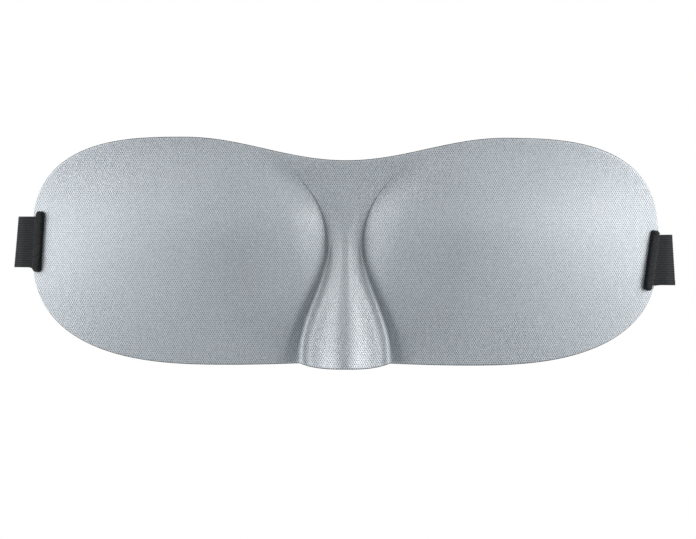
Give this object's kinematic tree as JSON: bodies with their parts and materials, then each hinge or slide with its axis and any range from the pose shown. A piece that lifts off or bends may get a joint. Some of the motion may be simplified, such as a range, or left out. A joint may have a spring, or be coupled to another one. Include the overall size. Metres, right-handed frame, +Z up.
{
  "type": "sleep eye mask",
  "caption": "Moulded contoured sleep mask with domed eye cups, a flared nose bridge, a soft nose flap and an adjustable elastic head strap.",
  "frame": {"origin": "on the skin side of the lining at the middle of the nose bridge, where the mask rests on the face", "axes": "+Z up as worn, +X to the right as seen from in front, the outside of the mask faces -Y and the head is towards +Y"},
  "size_m": [0.2479, 0.1122, 0.0862],
  "materials": {
    "face_fabric": "silver-grey satin twill",
    "foam": "soft open-cell foam, pressed thin at the edge",
    "lining_fabric": "brushed black knit",
    "elastic": "lengthwise ribbed black elastic",
    "thread": "dense black zigzag thread",
    "buckle_plastic": "moulded black plastic"
  },
  "bodies": {
    "mask": {"outer_cover": "face_fabric", "foam_core": "foam", "lining": "lining_fabric", "left_tack": "thread", "right_tack": "thread", "long_strap_lead": "elastic", "short_strap_lead": "elastic"},
    "nose_flap": {"nose_flap_foam": "foam", "nose_flap_facing": "lining_fabric"},
    "strap_sides": {"long_strap_side": "elastic", "short_strap_side": "elastic"},
    "strap_back": {"long_strap_back": "elastic", "long_strap_return": "elastic", "short_strap_loop": "elastic", "ring_tack": "thread"},
    "slider_unit": {"slider": "buckle_plastic", "long_strap_end": "elastic", "slider_tack": "thread"},
    "strap_ring": {"ring": "buckle_plastic"}
  },
  "joints": [
    {"name": "strap_swing", "type": "hinge", "parent": "mask", "child": "strap_sides", "pos_m": [0, 0.0173, 0.001], "axis": [1, 0, 0], "range_deg": [-70, 70], "stiffness_Nm_per_rad": 0.12, "deforming": ["long_strap_lead", "short_strap_lead"]},
    {"name": "strap_stretch", "type": "slide", "parent": "strap_sides", "child": "strap_back", "axis": [0, 1, 0], "range_m": [0, 0.08], "stiffness_N_per_m": 45, "deforming": ["long_strap_side", "short_strap_side"]},
    {"name": "slider_slide", "type": "slide", "parent": "strap_back", "child": "slider_unit", "axis": [1, 0, 0], "range_m": [-0.04, 0.036], "deforming": ["long_strap_return"]},
    {"name": "ring_swivel", "type": "hinge", "parent": "strap_back", "child": "strap_ring", "pos_m": [0.054, 0.0951, -0.005], "axis": [0, 0, 1], "range_deg": [-6, 6]},
    {"name": "flap_fold", "type": "hinge", "parent": "mask", "child": "nose_flap", "pos_m": [0, 0.0035, 0.006], "axis": [1, 0, 0], "range_deg": [-5, 30], "stiffness_Nm_per_rad": 0.02}
  ]
}
